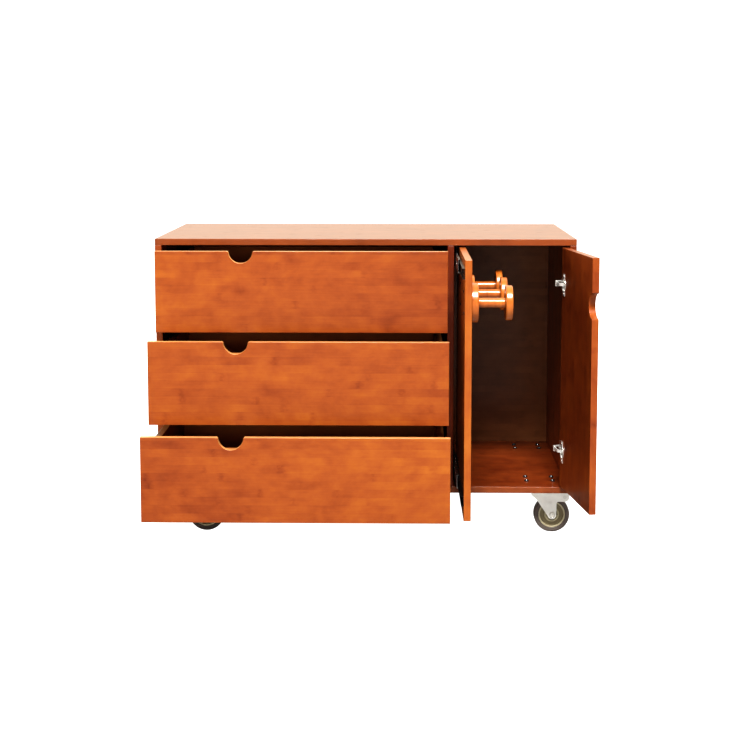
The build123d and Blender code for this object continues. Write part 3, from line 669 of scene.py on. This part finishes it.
black_zinc = plain("black_zinc", (0.045, 0.045, 0.05), 0.85, 0.3)
bright_zinc = plain("bright_zinc", (0.66, 0.66, 0.64), 1.0, 0.27)
catch_plastic = plain("catch_plastic", (0.025, 0.025, 0.027), 0.0, 0.38)

start, wires = tree_of("slotted_rail", ("Slot length", "Slot width", "Slot depth"))
rail, slot_length, slot_width, slot_depth, finish = wires
marked = start.node("GeometryNodeInputNamedAttribute", {"data_type": "FLOAT"}, {"Name": "reach"})
places = start.node("GeometryNodeMeshToPoints", None, {"Mesh": rail, "Selection": marked})
sides = {"Width": slot_length, "Height": slot_width}
outline = start.node("GeometryNodeCurvePrimitiveQuadrilateral", None, sides)
corner = slot_width * slot_corner_share
rounded = {"Curve": outline, "Count": 5, "Radius": corner, "Limit Radius": True}
outline = start.node("GeometryNodeFilletCurve", {"mode": "POLY"}, rounded)
ends = {"Start": start.vector(0, 0, slot_depth * -0.5), "End": start.vector(0, 0, slot_depth * 0.5)}
line = start.node("GeometryNodeCurvePrimitiveLine", None, ends)
swept = {"Curve": line, "Profile Curve": outline, "Fill Caps": True}
punch = start.node("GeometryNodeCurveToMesh", None, swept)
punches = start.node("GeometryNodeRealizeInstances", None, {0: set_out(start, places, punch)})
settle(start, cut(start, rail, punches), finish)
slot_tree = start.tree


def web_of(solid, low, high):
    """Where a rail's web stands, from its screw holes or else its plainer face."""
    level = (low.z + high.z) / 2
    holes = [vertex.co.x for vertex in solid if abs(vertex.co.z - level) < screw_hole_reach]
    if holes:
        return sum(holes) / len(holes)

    def vertices_on(face):
        return sum(abs(vertex.co.x - face) < same_plane for vertex in solid)

    return min((low.x, high.x), key=vertices_on)


def slot_places(solid):
    """Where one rail's slots go: along its web, clear of the screws and the ends."""
    low, high = corners(solid)
    if high.y - low.y < shortest_rail:
        return []
    web = web_of(solid, low, high)
    screwed = (low.y + rail_screw_inset, (low.y + high.y) / 2, high.y - rail_screw_inset)
    places = []
    for number in range(1, int((high.y - low.y) / slide_slot_pitch)):
        y = low.y + rail_screw_inset + number * slide_slot_pitch
        clear = min(abs(y - screw) for screw in screwed)
        if clear > slide_slot_clear and y < high.y - rail_screw_inset:
            places.append((web, y, (low.z + high.z) / 2))
    return places


def from_faces(name, shape, finish, ease=0.0):
    """Close a mesh's normals outwards, take its edges off and give it a finish."""
    bmesh.ops.remove_doubles(shape, verts=shape.verts, dist=1e-7)
    bmesh.ops.recalc_face_normals(shape, faces=shape.faces)
    made = bpy.data.meshes.new(name)
    shape.to_mesh(made)
    shape.free()
    made.materials.append(finish)
    piece = placed(name, made)
    if ease:
        bevel = piece.modifiers.new("ease", "BEVEL")
        bevel.width = ease
        bevel.segments = 2
        bevel.limit_method = "ANGLE"
        bevel.angle_limit = sharp_above
    return plain_mesh(piece)


def slotted(node, body, finish):
    """A copy of a node's rails, one by one, with slots punched through each web."""
    shape = merged(node)
    whole = bmesh.new()
    values = {
        "Slot length": slide_slot_length,
        "Slot width": slide_slot_width,
        "Slot depth": slide_slot_depth,
        "Finish": finish,
    }
    for solid in solids_in(shape):
        alone = bmesh.new()
        twins = {vertex: alone.verts.new(vertex.co) for vertex in solid}
        for face in dict.fromkeys(face for vertex in solid for face in vertex.link_faces):
            alone.faces.new([twins[vertex] for vertex in face.verts])
        spots = slot_places(solid)
        for spot in spots:
            alone.verts.new(spot)
        rail = bpy.data.meshes.new(node)
        alone.to_mesh(rail)
        alone.free()
        if spots:
            mark(rail, len(solid), [(pi / 2, 0, pi / 2)] * len(spots), [1.0] * len(spots))
            punched = run_tree("rail", rail, slot_tree, values)
            rail = punched.data
            bpy.data.objects.remove(punched)
        whole.from_mesh(rail)
    shape.free()
    fix(from_faces(f"{node}_slotted", whole, finish), body, "slide_steel", node)


slotted("cabinet_rails", "root", black_zinc)
slotted("rack_rails", "rack", black_zinc)
slotted("rack_middle_rails", "rack_carriers", bright_zinc)
for drawer in drawers:
    slotted(f"{drawer}_rails", drawer, black_zinc)
    slotted(f"{drawer}_middle_rails", f"{drawer}_carriers", bright_zinc)

for node, body in [("rack_rails", "rack")] + [(f"{drawer}_rails", drawer) for drawer in drawers]:
    rails = merged(node)
    shape = bmesh.new()
    for solid in solids_in(rails):
        low, high = corners(solid)
        web = web_of(solid, low, high)
        inward = 1 if web < (low.x + high.x) / 2 else -1
        level = (low.z + high.z) / 2
        front = low.y + catch_from_front
        near, far = [
            [
                shape.verts.new((web + inward * depth, front + y / 1000, level + z / 1000))
                for y, z in catch_outline
            ]
            for depth in catch_depths
        ]
        shape.faces.new(near)
        shape.faces.new(far)
        for i in range(len(catch_outline)):
            shape.faces.new((near[i - 1], near[i], far[i], far[i - 1]))
    rails.free()
    catches = from_faces(f"{node}_catches", shape, catch_plastic, catch_ease)
    fix(catches, body, "slide_steel")


# Rack panel: a board of the same bamboo that runs out on two slides. Three pegs, turned from
# laminated bamboo and highly lacquered, are screwed on from behind it.

# The pegs' sections are in millimetres: the radius, and the distance from the panel's face.
rack_face = 0.2626
peg_base_section = (
    (0.0, 0.0), (48.6, 0.0), (49.5, 0.4), (50.0, 1.4), (50.0, 1.8), (50.0, 14.8), (50.0, 15.2),
    (49.6, 16.6), (48.6, 17.6), (47.0, 18.0), (46.6, 18.0), (0.0, 18.0),
)
peg_rod_section = ((0.0, 18.0), (13.4, 18.0), (12.5, 19.2), (12.5, 84.8), (13.4, 86.0), (0.0, 86.0))
peg_end_section = (
    (0.0, 86.0), (40.8, 86.0), (41.2, 86.0), (42.8, 86.4), (43.7, 87.4), (44.0, 88.8), (44.0, 89.2),
    (44.0, 100.8), (44.0, 101.2), (43.7, 102.6), (42.8, 103.6), (41.2, 104.0), (40.8, 104.0),
    (0.0, 104.0),
)
peg_layer = 0.0045
turning_steps = 96
peg_tones = (
    (0.0, rgb(128, 58, 20)),
    (0.5, rgb(176, 100, 38)),
    (1.0, rgb(204, 134, 58)),
)


def turned_part(name, section, centres, axis, finish):
    """Turn a closed section, radius and distance in millimetres, about axis 0, x, or 1, y."""
    shape = bmesh.new()
    for centre in centres:
        rings = []
        for step in range(turning_steps):
            angle = 2 * pi * step / turning_steps
            ring = []
            for radius, distance in section:
                spot = [radius / 1000 * cos(angle), radius / 1000 * sin(angle)]
                spot.insert(axis, distance / 1000)
                ring.append(shape.verts.new(centre + Vector(spot)))
            rings.append(ring)
        for step in range(turning_steps):
            near, far = rings[step - 1], rings[step]
            for i in range(len(section)):
                if section[i - 1][0] + section[i][0] > 0:
                    shape.faces.new((near[i - 1], near[i], far[i], far[i - 1]))
    return from_faces(name, shape, finish)


dress("rack_panel", bamboo("bamboo_rack", "ZYX", 0.9, lift=0.2))
turned = bamboo("bamboo_pegs", "ZXY", 3.6, tones=peg_tones, coat=0.85, strip=peg_layer, coat_rough=0.24)
bases = merged("peg_bases")
middles = [middle(solid) for solid in solids_in(bases)]
bases.free()
feet = [Vector((rack_face, foot.y, foot.z)) for foot in middles]
sections = {"peg_bases": peg_base_section, "peg_rods": peg_rod_section, "peg_ends": peg_end_section}
for node, section in sections.items():
    fix(turned_part(f"{node}_turned", section, feet, 0, turned), "rack", "turned_wood", node)


# Cupboard door: one board with its grain upright, hung on two concealed hinges that snap
# round the right side. Cups, links and arms are pressed steel, nickel plated.

door_open = 98
door_turn = door_open - 90
hinge_ease = 0.0004
cup_screw_span = 0.0175
cup_screw_height = 0.008
same_place = 1e-4
adjuster_places = (-0.052, -0.031)
adjuster_reach = 0.006
arm_face = 0.5331

nickel = plain("nickel", (0.86, 0.85, 0.80), 0.6, 0.34)

dress("cupboard_door", bamboo("bamboo_door", "ZYX", 8.3, lift=-0.15, turn=door_turn))


def eased(node, body, slot, finish, ease, leave=()):
    """A copy of a node with its sharp edges taken off, without the solids named to leave."""
    shape = merged(node)
    for solid in list(solids_in(shape)):
        if any((middle(solid) - place).length < same_place for place in leave):
            bmesh.ops.delete(shape, geom=solid, context="VERTS")
    fix(from_faces(f"{node}_eased", shape, finish, ease), body, slot, node)


shape = merged("hinge_cups")
cup_screws = []
for solid in solids_in(shape):
    low, high = corners(solid)
    if (high - low).length < cup_screw_span and high.z - low.z < cup_screw_height:
        cup_screws.append(solid)
leave = [middle(solid) for solid in cup_screws]
fix(screws("hinge_cup_screws", cup_screws), "door", "hinge_steel")
shape.free()
eased("hinge_cups", "door", "hinge_steel", nickel, hinge_ease, leave)
eased("hinge_plates", "root", "hinge_steel", nickel, hinge_ease)
eased("hinge_links", "links", "hinge_steel", nickel, hinge_ease)

facing_left = Vector((-1, 0, 0)).to_track_quat("Z", "Y").to_euler()
shape = merged("hinge_links")
adjusters = [
    ((arm_face, y, middle(solid).z), facing_left, adjuster_reach)
    for solid in solids_in(shape)
    for y in adjuster_places
]
shape.free()
values = {
    "Head radius": 0.0036,
    "Head height": 0.0009,
    "Shank radius": screw_shank_radius,
    "Recess length": 0.0044,
    "Recess width": recess_width,
    "Recess depth": 0.0006,
    "Finish": screw_zinc,
}
shape = spots_mesh("hinge_adjusters", adjusters)
fix(run_tree("hinge_adjusters", shape, screw_tree, values), "root", "hinge_steel")


# Dowels: plain beech pegs glued into the carcass corners, hidden once it is together.

beech_tones = ((0.0, rgb(150, 112, 72)), (1.0, rgb(190, 152, 106)))
beech = bamboo("beech_dowels", "ZYX", 2.0, tones=beech_tones, coat=0.0, strip=0.05)
dress("carcass_dowels", beech)


# Casters: pressed, zinc-plated forks on swivel plates, bolted through the cabinet floor with
# socket-head bolts. The wheels are nylon centres with a grey rubber tread, on riveted axles,
# and the two in front have a brake lever.

# The halves of the sections are in millimetres: the radius, and the distance from the middle.
tyre_half = (
    (37.5, 13.1), (37.9, 14.4), (38.9, 15.2), (41.0, 15.6), (41.7, 15.0), (42.6, 15.0), (43.3, 15.7),
    (45.0, 16.0), (46.9, 15.6), (48.5, 14.5), (49.6, 12.9), (50.0, 11.0), (50.0, 0.9), (49.7, 0.5),
)
hub_half = (
    (37.4, 13.3), (36.8, 13.9), (34.0, 13.9), (33.3, 13.3), (32.5, 4.9), (31.7, 4.2), (22.4, 3.8),
    (21.4, 4.6), (20.6, 13.4), (19.9, 14.1), (17.3, 14.1), (16.6, 13.4), (16.0, 10.0), (15.2, 9.4),
    (12.6, 9.4), (11.8, 10.0), (11.3, 16.0), (10.6, 17.4), (6.1, 17.4),
)
axle_half = (
    (0.0, 23.6), (3.4, 23.6), (4.2, 25.6), (5.2, 26.2), (6.3, 25.9), (6.9, 23.6), (7.3, 23.4),
    (8.2, 22.4), (8.5, 21.1), (6.0, 21.1),
)
fork_ease = 0.0005
# The hubs' recesses are darkened with a painted shade: the darker tone, and the distances from a
# wheel's middle plane within which it is full and beyond which it is gone.
nylon_ring_tone = rgb(190, 180, 150)
nylon_recess_shade = rgb(138, 127, 101)
recess_shade_until = 0.006
recess_shade_gone = 0.0135
bolt_longer_than = 0.03
bolt_dome_fall = 0.3
bolt_turn_step = 0.4
socket_share = 1.1

caster_zinc = plain("caster_zinc", (0.9, 0.88, 0.81), 0.0, 0.4, change=0.04)
axle_zinc = plain("axle_zinc", (0.8, 0.78, 0.71), 0.35, 0.3)
tread_rubber = plain("tread_rubber", rgb(104, 94, 87), 0.0, 0.45)
black_oxide = plain("black_oxide", (0.13, 0.13, 0.135), 0.8, 0.24)


def mirrored_section(half):
    """A wheel's section from the half on one side of its middle plane."""
    return [(r, w) for r, w in half] + [(r, -w) for r, w in reversed(half)]


def wheel_nylon(wheel_plane):
    """Nylon, its own tone on the raised rings and darker down between them, a painted shade in the
    recesses.
    """
    material, start = finish_of("wheel_nylon")
    place = start.node("ShaderNodeTexCoord", None, None, "Object")
    across = start.node("ShaderNodeSeparateXYZ", None, {0: place}, 1)
    raised = abs(across - wheel_plane).step(recess_shade_until, recess_shade_gone)
    tooth = place.noise(tooth_scale, 3.0)
    # Painted shade: the nylon darkens towards the wheel's middle plane, down in the recesses.
    shade = (raised * 0.94 + tooth * 0.06).blend(opaque(nylon_recess_shade), opaque(nylon_ring_tone))
    bump = toothed(start, tooth)
    look = {"Base Color": shade, "Roughness": 0.5 - raised * 0.12, "Normal": bump}
    surface = start.node("ShaderNodeBsdfPrincipled", None, look)
    start.node("ShaderNodeOutputMaterial", None, {"Surface": surface})
    return material


for corner in ("front_left", "front_right", "rear_left", "rear_right"):
    low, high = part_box(f"{corner}_tyre")
    centre = (Vector(low) + Vector(high)) / 2
    tyre = turned_part(f"{corner}_tread", mirrored_section(tyre_half), [centre], 1, tread_rubber)
    fix(tyre, f"{corner}_wheel", "tread", f"{corner}_tyre")
    nylon = wheel_nylon(centre.y)
    hub = turned_part(f"{corner}_centre", mirrored_section(hub_half), [centre], 1, nylon)
    fix(hub, f"{corner}_wheel", "wheel_core", f"{corner}_hub")
    axle = turned_part(f"{corner}_rivet", mirrored_section(axle_half), [centre], 1, axle_zinc)
    fix(axle, f"{corner}_swivel", "caster_steel", f"{corner}_axle")
    eased(f"{corner}_fork", f"{corner}_swivel", "caster_steel", caster_zinc, fork_ease)
    if corner.startswith("front"):
        dress(f"{corner}_brake_lever", axle_zinc)
dress("caster_plates", caster_zinc)

start, wires = tree_of(
    "caster_bolt",
    (
        "Washer radius", "Washer height", "Head radius", "Head height", "Socket radius",
        "Bolt radius", "Grip", "Nut radius", "Nut height", "Tail",
    ),
)
places, washer_radius, washer_height, head_radius, head_height, socket_radius = wires[:6]
bolt_radius, grip, nut_radius, nut_height, tail, finish = wires[6:]
along_it = start.node("GeometryNodeSplineParameter")
washer = round_bar(start, 0.0, washer_height, rings=2, sides=28, radius=washer_radius)
dome = (1 - along_it * along_it * bolt_dome_fall) * head_radius
head_top = washer_height + head_height
head = round_bar(start, washer_height, head_top, rings=6, sides=24, radius=dome)
socket = {"Vertices": 6, "Radius": socket_radius, "Depth": head_height * socket_share}
socket = start.node("GeometryNodeMeshCylinder", {"fill_type": "NGON"}, socket)
lifted = {"Geometry": socket, "Translation": start.vector(0, 0, head_top)}
head = cut(start, head, start.node("GeometryNodeTransform", None, lifted))
shank_end = 0 - (grip + nut_height + tail)
shank = round_bar(start, shank_end, washer_height, rings=2, sides=16, radius=bolt_radius)
nut = {"Vertices": 6, "Radius": nut_radius, "Depth": nut_height}
nut = start.node("GeometryNodeMeshCylinder", {"fill_type": "NGON"}, nut)
lowered = {"Geometry": nut, "Translation": start.vector(0, 0, 0 - (grip + nut_height * 0.5))}
nut = start.node("GeometryNodeTransform", None, lowered)
one_bolt = washer.joined(head, shank, nut)
settle(start, set_out(start, places, one_bolt), finish)

shape = merged("caster_bolts")
floor_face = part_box("bottom_panel")[1][2]
spots = []
for solid in solids_in(shape):
    low, high = corners(solid)
    if high.z - low.z > bolt_longer_than:
        seat = ((low.x + high.x) / 2, (low.y + high.y) / 2, floor_face)
        spots.append((seat, (0, 0, bolt_turn_step * len(spots)), 0.0))
shape.free()
values = {
    "Washer radius": 0.0068,
    "Washer height": 0.0014,
    "Head radius": 0.0054,
    "Head height": 0.0036,
    "Socket radius": 0.0022,
    "Bolt radius": 0.004,
    "Grip": 0.021,
    "Nut radius": 0.0072,
    "Nut height": 0.006,
    "Tail": 0.0025,
    "Finish": black_oxide,
}
shape = spots_mesh("caster_socket_bolts", spots)
bolts = run_tree("caster_socket_bolts", shape, start.tree, values)
fix(bolts, "root", "caster_steel", "caster_bolts")
